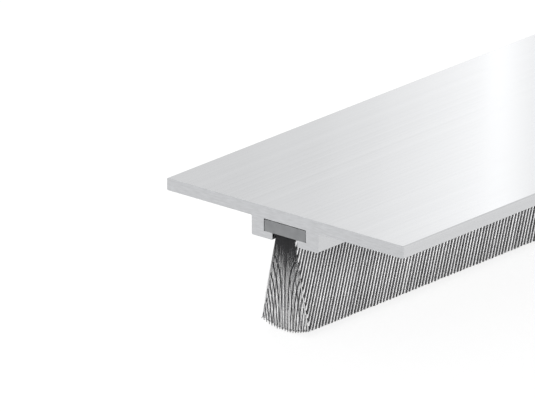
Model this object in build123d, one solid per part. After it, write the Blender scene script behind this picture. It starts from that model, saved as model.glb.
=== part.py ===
from build123d import *
import os

# Door brush seal: an extruded aluminium carrier with a brush strip in the channel under it.
# The top of the carrier's plate is fixed against the bottom edge of a door leaf.
# The brush strip slides into the channel from its end and hangs on the channel's two lips.
# Its filaments fan out below the slot and sweep the floor.
# The section lies in X and Z, and the seal runs along Y.
# The origin is the centre of the plate's top face, and every length is in millimetres.

# The seal is as long as a standard door leaf is wide
seal_length = 914.0

# Carrier plate
plate_width = 40.0
plate_thickness = 1.7

# Channel under the plate
channel_width = 7.1
channel_height = 1.7
channel_wall = 2.05
lip_thickness = 0.95
slot_width = 4.2

# Edge radii left by the extrusion die
outer_edge_radius = 0.2
lip_edge_radius = 0.15

# Brush strip's backing, with its running fit in the channel
strip_side_clearance = 0.1
strip_top_clearance = 0.1
backing_edge_radius = 0.2

# Brush: a fused band at the root, then filaments that fan out to a trimmed round edge
root_width = 3.0
root_band_height = 0.3
tip_width = 8.2
tip_edge_drop = 12.1
tip_crown = 0.85

# The round trimmed edge is this many straight cuts along its arc
trim_cuts = 4

# Rows of filaments along the seal, each standing clear of the next
row_pitch = 2.4
row_thickness = 1.2

# Single filaments in the row at each end, which part this far below the root band
filaments_across = 19
split_drop = 2.0

# A cut runs past the surface that it opens by this much
cut_overrun = 1.0

# Levels and widths that follow from the sizes above
plate_underside = -plate_thickness
lip_top = plate_underside - channel_height
carrier_underside = lip_top - lip_thickness
block_width = channel_width + 2 * channel_wall
backing_width = channel_width - 2 * strip_side_clearance
backing_height = channel_height - strip_top_clearance
fan_top = lip_top - root_band_height
tip_edge_level = lip_top - tip_edge_drop
tip_level = tip_edge_level - tip_crown

# The rows are evenly spaced, and the first and last are flush with the ends
row_count = round((seal_length - row_thickness) / row_pitch) + 1
row_step = (seal_length - row_thickness) / (row_count - 1)
row_gap = row_step - row_thickness


def along_seal(section):
    """Extrude a section in X and Z over the whole length, centred on the origin."""
    return extrude(section, amount=seal_length / 2, both=True)


def carrier():
    """The aluminium extrusion: plate, channel walls and the two lips that hold the strip."""
    with BuildSketch(Plane.XZ) as section:
        with Locations((0, plate_underside / 2)):
            Rectangle(plate_width, plate_thickness)
        with Locations((0, (plate_underside + carrier_underside) / 2)):
            Rectangle(block_width, plate_underside - carrier_underside)
        fillet(section.vertices(), outer_edge_radius)
        with Locations((0, (plate_underside + lip_top) / 2)):
            Rectangle(channel_width, channel_height, mode=Mode.SUBTRACT)
        with Locations((0, (lip_top + carrier_underside) / 2)):
            Rectangle(slot_width, lip_thickness, mode=Mode.SUBTRACT)
        slot_corners = section.vertices().filter_by_position(Axis.X, -slot_width / 2, slot_width / 2)
        fillet(slot_corners, lip_edge_radius)
    return along_seal(section.sketch)


def brush_backing():
    """The moulded strip that the filaments are fused to, lying on the channel's lips."""
    with BuildSketch(Plane.XZ) as section:
        with Locations((0, lip_top + backing_height / 2)):
            RectangleRounded(backing_width, backing_height, backing_edge_radius)
    return along_seal(section.sketch)


def fan_width(level):
    """Width of the brush at a level below the root band."""
    share = (fan_top - level) / (fan_top - tip_edge_level)
    return root_width + (tip_width - root_width) * share


def brush_section():
    """Outline of the brush: root band, straight flared sides and the round trimmed edge."""
    left_tip = (-tip_width / 2, tip_edge_level)
    right_tip = (tip_width / 2, tip_edge_level)
    arc = ThreePointArc(right_tip, (0, tip_level), left_tip)
    trimmed_edge = [arc @ (cut / trim_cuts) for cut in range(trim_cuts + 1)]
    outline = Polyline(
        (-root_width / 2, fan_top),
        (-root_width / 2, lip_top),
        (root_width / 2, lip_top),
        (root_width / 2, fan_top),
        *trimmed_edge,
        close=True,
    )
    return make_face(Plane.XZ * outline)


def row_gaps():
    """The open spaces between the rows of filaments, from the root band to past the tips."""
    gap = Box(
        tip_width + 2 * cut_overrun,
        row_gap,
        fan_top - tip_level + cut_overrun,
        align=(Align.CENTER, Align.CENTER, Align.MAX),
    )
    first_place = row_thickness + row_gap / 2 - seal_length / 2
    return [Pos(0, first_place + index * row_step, fan_top) * gap for index in range(row_count - 1)]


def filament_gaps():
    """Wedges between the single filaments at each end, closed at the root and open at the tips."""
    split_level = fan_top - split_drop
    open_level = tip_level - cut_overrun
    gap_width = (fan_width(open_level) - fan_width(split_level)) / filaments_across
    wedges = []
    for index in range(1, filaments_across):
        share = index / filaments_across - 1 / 2
        open_place = share * fan_width(open_level)
        outline = Polyline(
            (share * fan_width(split_level), split_level),
            (open_place + gap_width / 2, open_level),
            (open_place - gap_width / 2, open_level),
            close=True,
        )
        face = make_face(Plane.XZ * outline)
        wedge = extrude(face, amount=row_thickness + row_gap / 2, both=True)
        wedges += [Pos(0, end, 0) * wedge for end in (-seal_length / 2, seal_length / 2)]
    return wedges


def bristles():
    """The filaments: one comb of fanned rows, with single filaments in the row at each end."""
    return along_seal(brush_section()) - (row_gaps() + filament_gaps())


os.makedirs("parts", exist_ok=True)
export_step(carrier(), "parts/carrier.step")
export_step(brush_backing(), "parts/brush_backing.step")
export_step(bristles(), "parts/bristles.step")
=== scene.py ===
import logging
import math
from dataclasses import dataclass
from enum import Enum

import bmesh
import bpy
import numpy as np
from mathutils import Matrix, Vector


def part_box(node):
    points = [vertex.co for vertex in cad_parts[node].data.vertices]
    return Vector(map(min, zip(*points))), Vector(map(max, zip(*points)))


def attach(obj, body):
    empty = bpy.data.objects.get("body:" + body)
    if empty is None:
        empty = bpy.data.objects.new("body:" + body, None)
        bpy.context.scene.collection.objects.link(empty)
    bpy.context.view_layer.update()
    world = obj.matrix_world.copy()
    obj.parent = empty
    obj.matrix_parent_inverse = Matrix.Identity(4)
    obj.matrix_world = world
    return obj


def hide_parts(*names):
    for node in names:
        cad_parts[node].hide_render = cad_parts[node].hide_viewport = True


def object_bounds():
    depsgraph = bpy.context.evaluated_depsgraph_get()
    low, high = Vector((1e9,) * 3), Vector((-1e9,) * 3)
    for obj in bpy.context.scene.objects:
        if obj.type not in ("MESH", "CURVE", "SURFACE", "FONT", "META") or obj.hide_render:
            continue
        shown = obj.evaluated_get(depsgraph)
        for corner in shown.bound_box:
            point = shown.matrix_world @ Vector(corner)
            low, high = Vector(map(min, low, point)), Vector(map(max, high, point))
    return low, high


# Looks of the door brush seal: an aluminium carrier, the brush strip's grey backing and its filaments.
# The carrier and the backing are the CAD's own meshes, and rows of single filaments replace its bristles.
# Lengths are in metres. X lies across the seal, Y along it, and Z points up into the door.
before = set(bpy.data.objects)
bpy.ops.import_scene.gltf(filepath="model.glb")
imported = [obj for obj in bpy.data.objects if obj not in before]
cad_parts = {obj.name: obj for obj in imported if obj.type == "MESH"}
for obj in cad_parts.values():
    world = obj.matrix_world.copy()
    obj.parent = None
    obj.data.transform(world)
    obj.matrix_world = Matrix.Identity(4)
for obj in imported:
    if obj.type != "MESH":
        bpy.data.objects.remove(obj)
cad_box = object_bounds()
log = logging.getLogger("door_brush_seal")

MM = 0.001
UP = Vector((0, 0, 1))
WHITE = (1.0, 1.0, 1.0)
# Attribute that holds each filament's own tone
TONE = "tone"
# Most of a noise's values lie between these two
NOISE_LOW = 0.3
NOISE_HIGH = 0.7
# A vertex this near to a limit of the brush lies on it
TOUCH = 0.01 * MM
# Stock filaments stand one unit apart and have this radius, so that none touches the next
STOCK_RADIUS = 0.3
# A filament's face is an end cap where its normal's Z is past this
CAP_SLOPE = 0.5
# An area lamp's watts are this many times its radiance and its area
AREA_LAMP_FACTOR = 4.0

Colour = tuple[float, float, float]
# Features to the metre along X, Y and Z
Pattern = tuple[float, float, float]
Socket = bpy.types.NodeSocket
# What an input takes: another node's output or a constant
Feed = Socket | float | Colour


class End(Enum):
    """The two ends of the seal, as the sign of their place along Y."""

    NEAR = -1
    FAR = 1


class MixKind(Enum):
    """What a Mix node mixes, with the numbers of its two inputs and its output."""

    FLOAT = (2, 3, 0)
    RGBA = (6, 7, 2)


class NodeGraph:
    """The node tree of a new material or world, with short calls to add nodes and join them."""

    def __init__(self, owner: bpy.types.ID, output: str) -> None:
        """Clear the tree down to its output node.

        Args:
            owner: the new material or world.
            output: the output node's type, without its ShaderNode prefix.
        """
        owner.use_nodes = True
        self.owner = owner
        self.tree = owner.node_tree
        self.tree.nodes.clear()
        self.output = self.add(output)

    @classmethod
    def of_material(cls, name: str) -> "NodeGraph":
        """Start a new material."""
        return cls(bpy.data.materials.new(name), "OutputMaterial")

    @classmethod
    def of_world(cls, name: str) -> "NodeGraph":
        """Start a new world."""
        return cls(bpy.data.worlds.new(name), "OutputWorld")

    def feed(self, socket: Socket, value: Feed) -> None:
        """Give an input its value, or join it to another node's output.

        Args:
            socket: the input.
            value: another node's output, or a constant, where a colour has three numbers.
        """
        if isinstance(value, Socket):
            self.tree.links.new(value, socket)
        else:
            socket.default_value = (*value, 1.0) if socket.type == "RGBA" else value

    def add(self, kind: str, settings: dict | None = None, **inputs: Feed) -> bpy.types.Node:
        """Add a node and feed its inputs.

        Args:
            kind: the node's type, without its ShaderNode prefix.
            settings: properties of the node itself.
            **inputs: what feeds each named input, where _ stands for a space and a name such as in0
                means the input's number.

        Returns:
            The new node.
        """
        node = self.tree.nodes.new("ShaderNode" + kind)
        for key, value in (settings or {}).items():
            setattr(node, key, value)
        for key, value in inputs.items():
            number = key.removeprefix("in")
            place = int(number) if number.isdigit() else key.replace("_", " ")
            self.feed(node.inputs[place], value)
        return node

    def maths(self, operation: str, *values: Feed) -> Socket:
        """Work out a value with a Math node.

        Args:
            operation: the node's operation.
            *values: its one or two inputs.

        Returns:
            The result.
        """
        node = self.add("Math", {"operation": operation})
        for socket, value in zip(node.inputs, values):
            self.feed(socket, value)
        return node.outputs[0]

    def mix(self, kind: MixKind, share: Socket, first: Feed, second: Feed) -> Socket:
        """Mix two values or two colours.

        Args:
            kind: which of the two they are.
            share: the second one's share.
            first: the result at a share of 0.
            second: the result at a share of 1.

        Returns:
            The mixed value or colour.
        """
        first_input, second_input, output = kind.value
        node = self.add("Mix", {"data_type": kind.name}, in0=share)
        self.feed(node.inputs[first_input], first)
        self.feed(node.inputs[second_input], second)
        return node.outputs[output]

    def noise(self, pattern: Pattern, detail: float) -> Socket:
        """Noise on the piece's own coordinates, drawn out along the directions with few features.

        Args:
            pattern: features to the metre along X, Y and Z.
            detail: octaves of finer noise.

        Returns:
            The noise's value, around one half.
        """
        place = self.add("TexCoord").outputs["Object"]
        drawn = self.add("Mapping", Vector=place, Scale=pattern).outputs["Vector"]
        return self.add("TexNoise", Vector=drawn, Scale=1.0, Detail=detail).outputs["Fac"]

    def ranged(self, noise: Socket, low: float = 0.0, high: float = 1.0) -> Socket:
        """Map the usual range of a noise to low and high.

        Args:
            noise: the noise.
            low: the result where the noise is weak.
            high: the result where the noise is strong.

        Returns:
            The mapped value.
        """
        node = self.add(
            "MapRange", Value=noise, From_Min=NOISE_LOW, From_Max=NOISE_HIGH, To_Min=low, To_Max=high
        )
        return node.outputs["Result"]

    def varied(self, noise: Socket, middle: float, step: float) -> Socket:
        """Let a value follow a noise.

        Args:
            noise: the noise.
            middle: the value's middle.
            step: how far it goes to either side, where one below 0 turns it against the noise.

        Returns:
            The value.
        """
        return self.ranged(noise, middle - step, middle + step)

    def bump(self, height: Socket, relief: float, depth: float) -> Socket:
        """Let a height ripple the surface.

        Args:
            height: the height, from 0 to 1.
            relief: strength of the ripples.
            depth: size of a height of 1.

        Returns:
            The rippled normal.
        """
        return self.add("Bump", Strength=relief, Distance=depth, Height=height).outputs["Normal"]

    def looked_at(self) -> Socket:
        """Tell rays that show a thing from rays that it lights other things by.

        Returns:
            1 for camera, glossy and transmission rays, and 0 for all others.
        """
        path = self.add("LightPath").outputs
        seen = path["Is Camera Ray"]
        for kind in ("Is Glossy Ray", "Is Transmission Ray"):
            seen = self.maths("MAXIMUM", seen, path[kind])
        return seen

    def finish(self, surface: bpy.types.Node) -> bpy.types.ID:
        """Join the last shader to the output.

        Args:
            surface: the last shader node.

        Returns:
            The finished material or world.
        """
        self.tree.links.new(surface.outputs[0], self.output.inputs["Surface"])
        return self.owner


@dataclass(frozen=True)
class SatinAluminium:
    """Satin extrusion: faint die lines along its length, painted light on its upright sides, which are
    coloured brighter than its flat faces, and matt saw-cut ends.

    Attributes:
        half_length: half the extrusion's length.
        dull: colour of its flat faces where a die line is weak.
        bright: their colour where it is strong.
        upright_painted_light_dull: colour of its upright sides where a die line is weak, painted brighter
            than the flat faces as painted light.
        upright_painted_light_bright: their colour where it is strong, with the same painted light.
        sawn: the brightest colour of its ends.
        satin_roughness: roughness along its length.
        roughness_step: how far the die lines change that.
        sawn_roughness: roughness of its ends.
        end_skin: depth to which the saw-cut finish reaches.
        painted_light_slope: a side is upright, and gets the painted light, where its normal's X is past
            this.
        relief: strength of the ripples.
        line_depth: their size.
        die_lines: pattern of the die lines.
        die_detail: octaves of finer die lines.
        saw_marks: pattern of the saw marks.
        saw_detail: octaves of finer saw marks.
    """

    half_length: float
    dull: Colour = (0.557, 0.563, 0.573)
    bright: Colour = (0.59, 0.596, 0.606)
    # Painted light: the upright sides are coloured brighter than the flat faces, standing in for light on
    # them
    upright_painted_light_dull: Colour = (0.6, 0.605, 0.615)
    upright_painted_light_bright: Colour = (0.634, 0.639, 0.649)
    sawn: Colour = (0.637, 0.644, 0.659)
    satin_roughness: float = 0.17
    roughness_step: float = 0.03
    sawn_roughness: float = 0.55
    end_skin: float = 0.05 * MM
    painted_light_slope: float = 0.7
    relief: float = 0.25
    line_depth: float = 0.002 * MM
    die_lines: Pattern = (2600.0, 1.5, 2600.0)
    die_detail: float = 3.0
    saw_marks: Pattern = (700.0, 0.0, 5200.0)
    saw_detail: float = 4.0

    def material(self) -> bpy.types.Material:
        """Build the finish.

        Returns:
            The carrier's material.
        """
        graph = NodeGraph.of_material("satin_aluminium")
        lines = graph.noise(self.die_lines, self.die_detail)
        marks = graph.noise(self.saw_marks, self.saw_detail)
        surface = graph.add("TexCoord").outputs
        along = graph.add("SeparateXYZ", Vector=surface["Object"]).outputs["Y"]
        reach = graph.maths("ABSOLUTE", along)
        at_end = graph.maths("GREATER_THAN", reach, self.half_length - self.end_skin)
        # Painted light: the upright sides, found by their normal, take the brighter side colours
        aside = graph.add("SeparateXYZ", Vector=surface["Normal"]).outputs["X"]
        slope = graph.maths("ABSOLUTE", aside)
        painted_light_side = graph.maths("GREATER_THAN", slope, self.painted_light_slope)
        streaks = graph.ranged(lines)
        flat = graph.mix(MixKind.RGBA, streaks, self.dull, self.bright)
        # Die-lined colour of the upright sides, painted brighter as painted light
        upright = graph.mix(MixKind.RGBA, streaks, self.upright_painted_light_dull, self.upright_painted_light_bright)
        extruded = graph.mix(MixKind.RGBA, painted_light_side, flat, upright)
        sawn = graph.mix(MixKind.RGBA, graph.ranged(marks), self.sawn, self.dull)
        satin = graph.varied(lines, self.satin_roughness, self.roughness_step)
        height = graph.mix(MixKind.FLOAT, at_end, lines, marks)
        shader = graph.add(
            "BsdfPrincipled",
            Base_Color=graph.mix(MixKind.RGBA, at_end, extruded, sawn),
            Metallic=1.0,
            Roughness=graph.mix(MixKind.FLOAT, at_end, satin, self.sawn_roughness),
            Normal=graph.bump(height, self.relief, self.line_depth),
        )
        return graph.finish(shader)


@dataclass(frozen=True)
class MouldedPlastic:
    """Matt plastic with a fine moulded grain and slight mottling.

    Attributes:
        name: the material's name.
        dark: colour of the dark mottles.
        light: colour of the light ones.
        roughness: the middle of its roughness.
        roughness_step: how far the grain changes that.
        relief: strength of the grain.
        grain_depth: its size.
        grain: pattern of the grain.
        grain_detail: octaves of finer grain.
        mottle: pattern of the mottles, drawn out along the strip.
        mottle_detail: octaves of finer mottles.
    """

    name: str
    dark: Colour
    light: Colour
    roughness: float = 0.6
    roughness_step: float = 0.08
    relief: float = 0.3
    grain_depth: float = 0.01 * MM
    grain: Pattern = (9000.0, 9000.0, 9000.0)
    grain_detail: float = 2.0
    mottle: Pattern = (900.0, 180.0, 900.0)
    mottle_detail: float = 3.0

    def material(self) -> bpy.types.Material:
        """Build the finish.

        Returns:
            The plastic's material.
        """
        graph = NodeGraph.of_material(self.name)
        mottle = graph.ranged(graph.noise(self.mottle, self.mottle_detail))
        grain = graph.noise(self.grain, self.grain_detail)
        shader = graph.add(
            "BsdfPrincipled",
            Base_Color=graph.mix(MixKind.RGBA, mottle, self.dark, self.light),
            Roughness=graph.varied(grain, self.roughness, self.roughness_step),
            Normal=graph.bump(grain, self.relief, self.grain_depth),
        )
        return graph.finish(shader)


@dataclass(frozen=True)
class FilamentFinish:
    """Drawn synthetic filament: a slight sheen, and a tone that differs from filament to filament.

    Attributes:
        name: the material's name.
        dark: colour of the darkest filament.
        light: colour of the lightest.
        roughness: the middle of its roughness.
        roughness_step: how far the streaks change that.
        sheen_level: how much light its surface mirrors.
        streaks: pattern of the streaks that run down it.
        streak_detail: octaves of finer streaks.
    """

    name: str
    dark: Colour
    light: Colour
    roughness: float = 0.5
    roughness_step: float = 0.1
    sheen_level: float = 0.3
    streaks: Pattern = (9000.0, 9000.0, 300.0)
    streak_detail: float = 2.0

    def material(self) -> bpy.types.Material:
        """Build the finish.

        Returns:
            The filaments' material.
        """
        graph = NodeGraph.of_material(self.name)
        tone = graph.add("Attribute", {"attribute_name": TONE}).outputs["Fac"]
        streaks = graph.noise(self.streaks, self.streak_detail)
        shader = graph.add(
            "BsdfPrincipled",
            Base_Color=graph.mix(MixKind.RGBA, tone, self.dark, self.light),
            Roughness=graph.varied(streaks, self.roughness, -self.roughness_step),
            Specular_IOR_Level=self.sheen_level,
        )
        return graph.finish(shader)


def all_of(bm: bmesh.types.BMesh) -> list:
    """Everything in a bmesh, in the form that its operators take."""
    return bm.verts[:] + bm.edges[:] + bm.faces[:]


def to_mesh(name: str, bm: bmesh.types.BMesh) -> bpy.types.Mesh:
    """Turn a bmesh into a mesh and free it.

    Args:
        name: the mesh's name.
        bm: the finished bmesh.

    Returns:
        The mesh.
    """
    mesh = bpy.data.meshes.new(name)
    bm.to_mesh(mesh)
    bm.free()
    return mesh


def add_object(name: str, data: bpy.types.ID) -> bpy.types.Object:
    """Put a mesh, a camera or a lamp in the scene.

    Args:
        name: the object's name.
        data: the mesh, camera or lamp.

    Returns:
        The object, at the origin.
    """
    item = bpy.data.objects.new(name, data)
    bpy.context.scene.collection.objects.link(item)
    return item


def point_along(item: bpy.types.Object, sight: Vector) -> None:
    """Turn a camera or a lamp.

    Args:
        item: the camera or lamp.
        sight: the direction that it looks or shines in.
    """
    item.rotation_mode = "QUATERNION"
    item.rotation_quaternion = sight.to_track_quat("-Z", "Y")


def direction_to(azimuth: float, elevation: float = 0.0) -> Vector:
    """Direction from the seal to something that stands round it.

    Args:
        azimuth: degrees round from the near end, to the right.
        elevation: degrees up.

    Returns:
        The direction, one unit long.
    """
    a, e = math.radians(azimuth), math.radians(elevation)
    return Vector((math.sin(a) * math.cos(e), -math.cos(a) * math.cos(e), math.sin(e)))


def eased(share: np.ndarray) -> np.ndarray:
    """Run smoothly from 0 to 1.

    Args:
        share: how far the run has gone, where it starts at 0 and ends at 1.

    Returns:
        The smooth value.
    """
    inside = np.clip(share, 0, 1)
    return inside**2 * (3 - 2 * inside)


@dataclass(frozen=True)
class BrushOutline:
    """The brush's outline across the seal, and its two ends.

    Attributes:
        near: the near end's place along the seal.
        far: the far end's.
        root_level: level of the roots.
        root_half: half the width there.
        corner_level: level of the trimmed edge's two corners.
        corner_half: half the width there, the greatest.
        tip_level: level of the trimmed edge's middle, the lowest.
    """

    near: float
    far: float
    root_level: float
    root_half: float
    corner_level: float
    corner_half: float
    tip_level: float

    @classmethod
    def from_node(cls, node: str) -> "BrushOutline":
        """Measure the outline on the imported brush.

        Args:
            node: the CAD node's name.

        Returns:
            The outline.
        """
        low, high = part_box(node)
        places = [vertex.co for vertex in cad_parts[node].data.vertices]
        at_root = [abs(place.x) for place in places if high.z - place.z < TOUCH]
        at_corner = [place.z for place in places if high.x - place.x < TOUCH]
        return cls(
            near=low.y,
            far=high.y,
            root_level=high.z,
            root_half=max(at_root),
            corner_level=min(at_corner),
            corner_half=high.x,
            tip_level=low.z,
        )

    def end_place(self, end: End) -> float:
        """Where an end lies along the seal."""
        return self.near if end is End.NEAR else self.far

    def half_width(self, drop: np.ndarray) -> np.ndarray:
        """Half the brush's width at a level.

        Args:
            drop: how far down the level is, from 0 at the root to 1 at the tips.

        Returns:
            The half width there.
        """
        return self.root_half + (self.corner_half - self.root_half) * drop

    def tip_at(self, x: np.ndarray) -> np.ndarray:
        """Levels of the round trimmed edge.

        Args:
            x: places across the seal.

        Returns:
            The level of the edge at each place.
        """
        crown = self.corner_level - self.tip_level
        radius = (self.corner_half**2 + crown**2) / (2 * crown)
        return self.tip_level + radius - np.sqrt(radius**2 - x**2)


@dataclass(frozen=True)
class Lean:
    """How the tips of a row stand towards the near end.

    Attributes:
        outline: the brush's outline.
        tip_offset: how far a full filament's tip stands from its root.
        fade: the stretch before the far end over which the lean runs out.
        stop: where leaning filaments end, in from the near end and behind its fan.
        least: the smallest lean, which keeps the sums below from a division by 0.
        shortest: the share of its length that a filament keeps at the least.
    """

    outline: BrushOutline
    tip_offset: float = 7.5 * MM
    fade: float = 40 * MM
    stop: float = 0.34 * MM
    least: float = 1e-9
    shortest: float = 0.02

    def offset(self, place: np.ndarray) -> np.ndarray:
        """How far full filaments lean.

        Args:
            place: their roots' places along the seal.

        Returns:
            The distance from each root to its tip, along the seal.
        """
        full = self.tip_offset * np.clip((self.outline.far - place) / self.fade, 0, 1)
        return np.maximum(full, self.least)

    def free_share(self, place: np.ndarray) -> np.ndarray:
        """How much of each filament there is room for before the stop.

        Args:
            place: their roots' places along the seal.

        Returns:
            The share of each one's full length.
        """
        first = self.outline.near + self.stop
        return np.clip((place - first) / self.offset(place), self.shortest, 1)


@dataclass(frozen=True)
class Bow:
    """How the filaments of an end's fan swing out to its edge and then turn down to their own places.

    Attributes:
        outline: the brush's outline.
        width: the share of the fan's full width over which the turns are spread.
        first_turn: the highest turn, from 0 at the root to 1 at the tips.
        rim: how far out the middle filaments may come, where 1 is the fan's edge.
        gather: a filament's place at its root, as a share of its place at the tip.
        swing: the power of the swing; a higher one keeps a filament in for longer.
        dive: how far behind the fan's front a filament lies above its turn.
        surfacing: the drop over which it comes to the front, just above its turn.
    """

    outline: BrushOutline
    width: float = 0.55
    first_turn: float = 0.2
    rim: float = 0.92
    gather: float = 0.6
    swing: float = 4.0
    dive: float = 0.5 * MM
    surfacing: float = 0.06

    def turn_level(self, share: np.ndarray) -> np.ndarray:
        """Level at which filaments reach the edge of the fan and turn down.

        Args:
            share: each filament's place across the fan at its tip, from 0 to 1.

        Returns:
            The level, from 0 at the root to 1 at the tip.
        """
        out = self.outline
        turn_width = out.corner_half * (1 - self.width * (1 - share))
        turn = (turn_width - out.root_half) / (out.corner_half - out.root_half)
        return np.maximum(turn, self.first_turn)

    def below_turn(self, share: np.ndarray, drop: np.ndarray) -> np.ndarray:
        """Place across the fan of filaments below their turns.

        Args:
            share: each filament's place at its tip, from 0 to 1.
            drop: how far down the level is, from 0 at the root to 1 at the tip.

        Returns:
            The place at that level, from 0 to 1.
        """
        fan = self.outline.half_width(drop) / self.outline.corner_half
        straight_down = share * self.width / (fan - 1 + self.width)
        return np.minimum(straight_down, self.rim + (1 - self.rim) * share)

    def spread(self, share: np.ndarray, drop: np.ndarray) -> np.ndarray:
        """Place across the fan of filaments at any level.

        Args:
            share: each filament's place at its tip, from 0 to 1.
            drop: how far down the level is, from 0 at the root to 1 at the tip.

        Returns:
            The place at that level, from 0 to 1.
        """
        turn = self.turn_level(share)
        swing = np.clip(drop / (turn - self.surfacing), 0, 1) ** self.swing
        root = self.gather * share
        return root + (self.below_turn(share, np.maximum(drop, turn)) - root) * swing

    def depth(self, share: np.ndarray, drop: np.ndarray) -> np.ndarray:
        """How far behind the fan's front filaments lie.

        Args:
            share: each filament's place at its tip, from 0 to 1.
            drop: how far down the level is, from 0 at the root to 1 at the tip.

        Returns:
            The distance at that level.
        """
        surfaced = eased((drop - self.turn_level(share)) / self.surfacing + 1)
        return self.dive * (1 - surfaced)


@dataclass(frozen=True)
class Filament:
    """One kind of filament, and how it is set in a row.

    Attributes:
        across: how many stand in a row.
        radius: its thickness at the root, from its middle to an edge.
        reach: the share of the brush's width that a row takes up.
        lengths: the least and greatest share of the full length, where it doesn't lean.
        rings: cuts between root and tip, where it can bend.
        taper: the share of the thickness that is lost by the tip.
        stray: how far a tip strays from its place, as a standard deviation.
        stagger: the most that a root stands out of its row.
        ragged: the most that a tip falls short of the trimmed edge.
        sides: flat sides round it.
    """

    across: int
    radius: float
    reach: float = 1.0
    lengths: tuple[float, float] = (1.0, 1.0)
    rings: int = 1
    taper: float = 0.0
    stray: float = 0.015 * MM
    stagger: float = 0.006 * MM
    ragged: float = 0.12 * MM
    sides: int = 3


@dataclass
class FilamentSet:
    """One piece: rows of one kind of filament, each across the seal.

    Attributes:
        name: the piece's name.
        outline: the brush's outline.
        material: the filaments' finish.
        kind: the kind of filament.
        places: the rows' places along the seal.
        facing: 1 where a flat side of each filament faces the near end, and -1 for the far end.
        lean: how the filaments lean, if they do.
        bow: how they bow out, if they do.
    """

    name: str
    outline: BrushOutline
    material: bpy.types.Material
    kind: Filament
    places: np.ndarray
    facing: int = 1
    lean: Lean | None = None
    bow: Bow | None = None

    @property
    def count(self) -> int:
        """How many filaments the piece has."""
        return len(self.places) * self.kind.across

    def stock(self) -> bpy.types.Mesh:
        """Cut straight filaments one unit long, standing one unit apart along X.

        Returns:
            Their mesh, from the roots at a height of 0 down to the tips at -1.
        """
        bm = bmesh.new()
        depth = 1.0
        bmesh.ops.create_cone(
            bm,
            cap_ends=True,
            segments=self.kind.sides,
            radius1=STOCK_RADIUS,
            radius2=STOCK_RADIUS,
            depth=depth,
        )
        bmesh.ops.translate(bm, vec=(0, 0, -depth / 2), verts=bm.verts)
        for ring in range(self.kind.rings):
            level = -(ring + 1) / (self.kind.rings + 1)
            bmesh.ops.bisect_plane(bm, geom=all_of(bm), plane_co=(0, 0, level), plane_no=UP)
        for face in bm.faces:
            face.smooth = abs(face.normal.z) < CAP_SLOPE
        made = 1
        while made < self.count:
            copy = bmesh.ops.duplicate(bm, geom=all_of(bm))["geom"]
            verts = [item for item in copy if isinstance(item, bmesh.types.BMVert)]
            bmesh.ops.translate(bm, vec=(made, 0, 0), verts=verts)
            made *= 2
        surplus = [vert for vert in bm.verts if round(vert.co.x) >= self.count]
        bmesh.ops.delete(bm, geom=surplus, context="VERTS")
        return to_mesh(self.name, bm)

    def comb(self, mesh: bpy.types.Mesh, rng: np.random.Generator) -> None:
        """Set the straight filaments in their rows, fan them out, and let each stray a little.

        Args:
            mesh: the stock of filaments.
            rng: the seeded random source.
        """
        # One value for each filament
        out, kind, count = self.outline, self.kind, self.count
        share = kind.reach * ((np.arange(count) % kind.across) / (kind.across - 1) * 2 - 1)
        place = np.repeat(self.places, kind.across)
        tip_x = share * (out.corner_half - kind.radius)
        length = out.root_level - out.tip_at(tip_x) - rng.uniform(0, kind.ragged, count)
        free = rng.uniform(*kind.lengths, count)
        astray_x = rng.normal(0, kind.stray, count)
        astray_y = rng.normal(0, kind.stray, count)
        stagger = rng.uniform(-kind.stagger, kind.stagger, count)
        tone = rng.uniform(0, 1, count)
        tip_y = np.zeros(count)
        if self.lean:
            free = self.lean.free_share(place)
            tip_y = astray_y - self.lean.offset(place)

        # One value for each vertex of the stock
        flat = np.empty(len(mesh.vertices) * 3)
        mesh.vertices.foreach_get("co", flat)
        x, y, z = flat.reshape(-1, 3).T
        strand = np.rint(x).astype(int)
        drop = -z * free[strand]
        spread = share[strand]
        depth = np.zeros_like(drop)
        if self.bow:
            depth = self.bow.depth(np.abs(spread), drop)
            spread = self.bow.spread(np.abs(spread), drop) * np.sign(spread)
        centre_x = spread * (out.half_width(drop) - kind.radius) + astray_x[strand] * drop
        centre_y = (place + stagger)[strand] + tip_y[strand] * drop + self.facing * depth
        thickness = self.facing * kind.radius / STOCK_RADIUS * (1 - kind.taper * z**2)
        new_x = np.clip(centre_x + (x - strand) * thickness, -out.corner_half, out.corner_half)
        new_y = np.clip(centre_y + y * thickness, out.near, out.far)
        new_z = out.root_level - length[strand] * drop
        mesh.vertices.foreach_set("co", np.stack((new_x, new_y, new_z), 1).ravel())
        attribute = mesh.attributes.new(TONE, "FLOAT", "POINT")
        attribute.data.foreach_set("value", tone[strand])
        mesh.update()

    def build(self, rng: np.random.Generator) -> None:
        """Build the piece.

        Args:
            rng: the seeded random source.
        """
        mesh = self.stock()
        self.comb(mesh, rng)
        mesh.materials.append(self.material)
        piece = add_object(self.name, mesh)
        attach(piece, "brush")
        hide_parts("bristles")
        mesh.calc_loop_triangles()
        log.info("%s: %d triangles", piece.name, len(mesh.loop_triangles))


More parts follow.
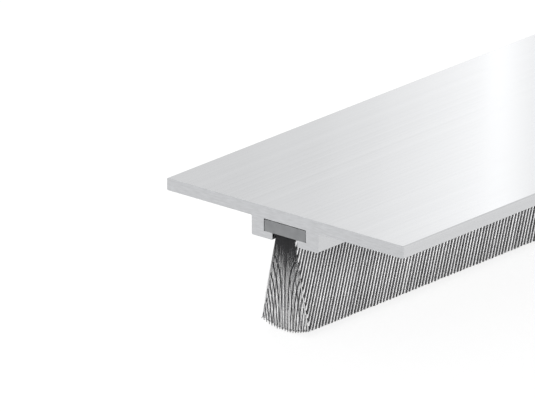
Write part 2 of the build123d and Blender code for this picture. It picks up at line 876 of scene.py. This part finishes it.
@dataclass
class Brush:
    """The filaments: alternate rows of charcoal and grey ones, and a black fan at each end.

    Attributes:
        outline: the brush's outline.
        black: finish of the fan and its filler.
        pale: finish of the curtain.
        charcoal: finish of the dark rows.
        grey: finish of the light rows.
        fan: the bowed row at each end.
        filler: short fine filaments that close the fan's gaps at the root and run out to points.
        curtain: the row behind them, which shows through the fan's gaps.
        charcoal_row: the dark rows between the ends.
        grey_row: the light rows between them.
        fan_gap: from the end to the middle of the fan and its filler.
        curtain_gap: from the end to the middle of the curtain.
        row_pitch: from one dark row to the next.
        pieces: pieces that each colour of row is made in.
        seed: seed of the random source.
    """

    outline: BrushOutline
    black: FilamentFinish
    pale: FilamentFinish
    charcoal: FilamentFinish
    grey: FilamentFinish
    fan: Filament = Filament(across=19, radius=0.128 * MM, rings=15, taper=0.53, stray=0.008 * MM)
    filler: Filament = Filament(
        across=79, radius=0.0227 * MM, lengths=(0.78, 0.82), rings=5, taper=0.88, stray=0.008 * MM
    )
    curtain: Filament = Filament(across=64, radius=0.131 * MM, reach=0.97, lengths=(0.965, 0.975))
    charcoal_row: Filament = Filament(across=19, radius=0.119 * MM)
    grey_row: Filament = Filament(across=19, radius=0.208 * MM)
    fan_gap: float = 0.065 * MM
    curtain_gap: float = 0.16 * MM
    row_pitch: float = 0.642 * MM
    pieces: int = 4
    seed: int = 7

    def build_ends(self, rng: np.random.Generator) -> None:
        """Build the layers of filaments at each end, from the front to the back.

        Args:
            rng: the seeded random source.
        """
        black, pale = self.black.material(), self.pale.material()
        layers = (
            ("fan", black, self.fan, self.fan_gap, Bow(self.outline)),
            ("filler", black, self.filler, self.fan_gap, None),
            ("curtain", pale, self.curtain, self.curtain_gap, None),
        )
        for end in End:
            edge = self.outline.end_place(end)
            for layer, material, kind, gap, bow in layers:
                name = f"{end.name.lower()}_{layer}"
                places = np.array([edge - end.value * gap])
                row = FilamentSet(name, self.outline, material, kind, places, facing=-end.value, bow=bow)
                row.build(rng)

    def build_rows(self, rng: np.random.Generator) -> None:
        """Build the rows between the ends, in a few pieces of each colour.

        Args:
            rng: the seeded random source.
        """
        first = self.outline.near + self.row_pitch
        last = self.outline.far - self.row_pitch
        count = round((last - first) / self.row_pitch) + 1
        rows = np.linspace(first, last, count)
        halfway = (rows[:-1] + rows[1:]) / 2
        colours = (
            ("charcoal", self.charcoal.material(), self.charcoal_row, rows),
            ("grey", self.grey.material(), self.grey_row, halfway),
        )
        lean = Lean(self.outline)
        for colour, material, kind, places in colours:
            parts = np.array_split(places, self.pieces)
            for index, part in enumerate(parts):
                name = f"{colour}_filaments_{index + 1}"
                FilamentSet(name, self.outline, material, kind, part, lean=lean).build(rng)

    def build(self) -> None:
        """Build the two ends, then the rows between them."""
        rng = np.random.default_rng(self.seed)
        self.build_ends(rng)
        self.build_rows(rng)


def dress(node: str, material: bpy.types.Material) -> None:
    """Give a CAD node its finish.

    Args:
        node: the node's name.
        material: its finish.
    """
    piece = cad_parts[node]
    piece.data.materials.clear()
    piece.data.materials.append(material)
    log.info("%s: dressed in %s", node, material.name)


@dataclass
class PictureCamera:
    """A long lens, which sees the seal nearly in parallel, as the picture does.

    Attributes:
        near_end: the near end's place along the seal.
        azimuth: degrees round from the near end, to the right.
        elevation: degrees up.
        half_view: degrees from the middle of the view to its left or right edge.
        distance: from the lens to the point that it looks at.
        aim_x: that point's place across the seal.
        aim_along: how far it lies in from the near end.
        aim_z: its level.
        sensor: width of the sensor in millimetres.
        clip_near: what is nearer than this isn't drawn.
        clip_far: what is further than this isn't drawn.
    """

    near_end: float
    azimuth: float = 40.66
    elevation: float = 19.87
    half_view: float = 0.80
    distance: float = 2487.0 * MM
    aim_x: float = -20.11 * MM
    aim_along: float = 20.0 * MM
    aim_z: float = -9.412 * MM
    sensor: float = 36.0
    clip_near: float = 0.1
    clip_far: float = 100.0

    def build(self) -> None:
        """Place the camera and make it the scene's."""
        data = bpy.data.cameras.new("picture_camera")
        data.sensor_width = self.sensor
        data.lens = self.sensor / 2 / math.tan(math.radians(self.half_view))
        data.clip_start = self.clip_near
        data.clip_end = self.clip_far
        back = direction_to(self.azimuth, self.elevation)
        aim = Vector((self.aim_x, self.near_end + self.aim_along, self.aim_z))
        camera = add_object("picture_camera", data)
        camera.location = aim + back * self.distance
        point_along(camera, -back)
        bpy.context.scene.camera = camera


@dataclass(frozen=True)
class StripLamp:
    """An upright lamp that the plate mirrors.

    Attributes:
        right: its right edge, as a distance left of the streak's middle.
        left: its left edge, measured in the same way.
        radiance: how bright its mirror image would be in a perfect mirror.
    """

    right: float
    left: float
    radiance: float


@dataclass(frozen=True)
class BroadLamp:
    """A distant soft lamp that the metal doesn't mirror.

    Attributes:
        azimuth: degrees round from the near end, to the right.
        elevation: degrees up.
        strength: its light on a surface that faces it, in watts to the square metre.
        spread: its width as seen from the seal, in degrees.
    """

    azimuth: float
    elevation: float
    strength: float
    spread: float = 20.0


@dataclass
class Studio:
    """A white floor under the brush, an even white world, two broad lamps and upright strip lamps.

    Attributes:
        floor_level: the level of the brush's tips.
        near_end: the near end's place along the seal.
        far_edge: the place across the seal of the plate's edge that is further from the camera.
        view_azimuth: the camera's azimuth.
        floor_half: half the floor's width.
        floor_glow: how brightly the floor glows where it is looked at.
        floor_white: how much light the floor throws back.
        world_fill: the world's brightness where it only lights the seal.
        key: the broad lamp in front of the near end.
        fill: the broad lamp beyond the far end, on the left.
        streak_along: where the streak's middle meets the plate's far edge, in from the near end.
        strip_distance: from the plate's far edge to the strip lamps.
        strip_low: the strip lamps' lower end, above the plate.
        strip_high: their upper end.
        strips: the strip lamps from right to left.
    """

    floor_level: float
    near_end: float
    far_edge: float
    view_azimuth: float
    floor_half: float = 120.0
    floor_glow: float = 0.82
    floor_white: float = 0.3
    world_fill: float = 0.5
    key: BroadLamp = BroadLamp(azimuth=28.0, elevation=8.0, strength=3.3)
    fill: BroadLamp = BroadLamp(azimuth=225.0, elevation=20.0, strength=1.6)
    streak_along: float = 67.3 * MM
    strip_distance: float = 120 * MM
    strip_low: float = 5 * MM
    strip_high: float = 140 * MM
    strips: tuple[StripLamp, ...] = (
        StripLamp(-8.6 * MM, -4.4 * MM, 0.32),
        StripLamp(-4.4 * MM, -2.1 * MM, 0.42),
        StripLamp(-2.1 * MM, 0.3 * MM, 0.64),
        StripLamp(0.3 * MM, 5.0 * MM, 0.36),
        StripLamp(5.0 * MM, 9.5 * MM, 0.29),
        StripLamp(9.5 * MM, 15.0 * MM, 0.22),
        StripLamp(15.0 * MM, 22.0 * MM, 0.13),
        StripLamp(22.0 * MM, 32.0 * MM, 0.05),
    )

    def floor_material(self) -> bpy.types.Material:
        """White floor that glows where it is looked at and still takes the seal's shadow.

        Returns:
            The floor's material, clear from below.
        """
        graph = NodeGraph.of_material("white_floor")
        glow = graph.maths("MULTIPLY", graph.looked_at(), self.floor_glow)
        light = graph.add("Emission", Color=WHITE, Strength=glow)
        paint = graph.add("BsdfDiffuse", Color=(self.floor_white,) * len(WHITE))
        both = graph.add("AddShader", in0=light.outputs[0], in1=paint.outputs[0])
        clear = graph.add("BsdfTransparent")
        below = graph.add("NewGeometry").outputs["Backfacing"]
        return graph.finish(graph.add("MixShader", in0=below, in1=both.outputs[0], in2=clear.outputs[0]))

    def build_floor(self) -> None:
        """Lay the floor at the level of the brush's tips."""
        bm = bmesh.new()
        bmesh.ops.create_grid(bm, x_segments=1, y_segments=1, size=self.floor_half)
        bmesh.ops.translate(bm, vec=(0, 0, self.floor_level), verts=bm.verts)
        mesh = to_mesh("floor", bm)
        mesh.materials.append(self.floor_material())
        floor = add_object("floor", mesh)

    def build_world(self) -> None:
        """Light evenly from all round, and show plain white behind the seal."""
        graph = NodeGraph.of_world("white_world")
        strength = graph.add("MapRange", Value=graph.looked_at(), To_Min=self.world_fill, To_Max=1.0)
        background = graph.add("Background", Color=WHITE, Strength=strength.outputs["Result"])
        bpy.context.scene.world = graph.finish(background)

    def build_broad(self, lamp: BroadLamp) -> None:
        """Set one broad lamp.

        Args:
            lamp: its direction and its strength.
        """
        sun = bpy.data.lights.new("broad_lamp", "SUN")
        sun.energy = lamp.strength
        sun.angle = math.radians(lamp.spread)
        placed = add_object("broad_lamp", sun)
        placed.visible_glossy = False
        point_along(placed, -direction_to(lamp.azimuth, lamp.elevation))

    def build_strip(self, strip: StripLamp) -> None:
        """Stand one strip lamp beyond the plate, square to the line of sight.

        Args:
            strip: its place and its radiance.
        """
        towards = direction_to(self.view_azimuth)
        right = UP.cross(towards)
        area = bpy.data.lights.new("strip_lamp", "AREA")
        area.shape = "RECTANGLE"
        area.size = strip.left - strip.right
        area.size_y = self.strip_high - self.strip_low
        area.energy = strip.radiance * AREA_LAMP_FACTOR * area.size * area.size_y
        crossing = Vector((self.far_edge, self.near_end + self.streak_along, 0))
        aside = -right * (strip.left + strip.right) / 2
        middle = UP * (self.strip_low + self.strip_high) / 2
        placed = add_object("strip_lamp", area)
        placed.location = crossing - towards * self.strip_distance + aside + middle
        placed.visible_camera = False
        point_along(placed, towards)

    def build(self) -> None:
        """Set the floor, the world and the lamps."""
        self.build_floor()
        self.build_world()
        self.build_broad(self.key)
        self.build_broad(self.fill)
        for strip in self.strips:
            self.build_strip(strip)
        bpy.context.scene.view_settings.view_transform = "Standard"


def main() -> None:
    """Build each sub-assembly in order."""
    logging.basicConfig(level=logging.INFO, format="%(name)s: %(message)s")
    low, high = cad_box
    aluminium = SatinAluminium(half_length=high.y)
    plastic = MouldedPlastic("backing_plastic", dark=(0.171, 0.175, 0.18), light=(0.203, 0.207, 0.212))
    dress("carrier", aluminium.material())
    dress("brush_backing", plastic.material())
    brush = Brush(
        outline=BrushOutline.from_node("bristles"),
        black=FilamentFinish("black_filament", dark=(0.01, 0.01, 0.011), light=(0.022, 0.022, 0.024)),
        pale=FilamentFinish("pale_filament", dark=(0.88, 0.88, 0.89), light=(0.95, 0.95, 0.95)),
        charcoal=FilamentFinish(
            "charcoal_filament", dark=(0.085, 0.085, 0.086), light=(0.115, 0.114, 0.117)
        ),
        grey=FilamentFinish("grey_filament", dark=(0.79, 0.79, 0.8), light=(0.87, 0.87, 0.875)),
    )
    brush.build()
    camera = PictureCamera(near_end=low.y)
    camera.build()
    Studio(floor_level=low.z, near_end=low.y, far_edge=low.x, view_azimuth=camera.azimuth).build()


if __name__ == "__main__":
    main()
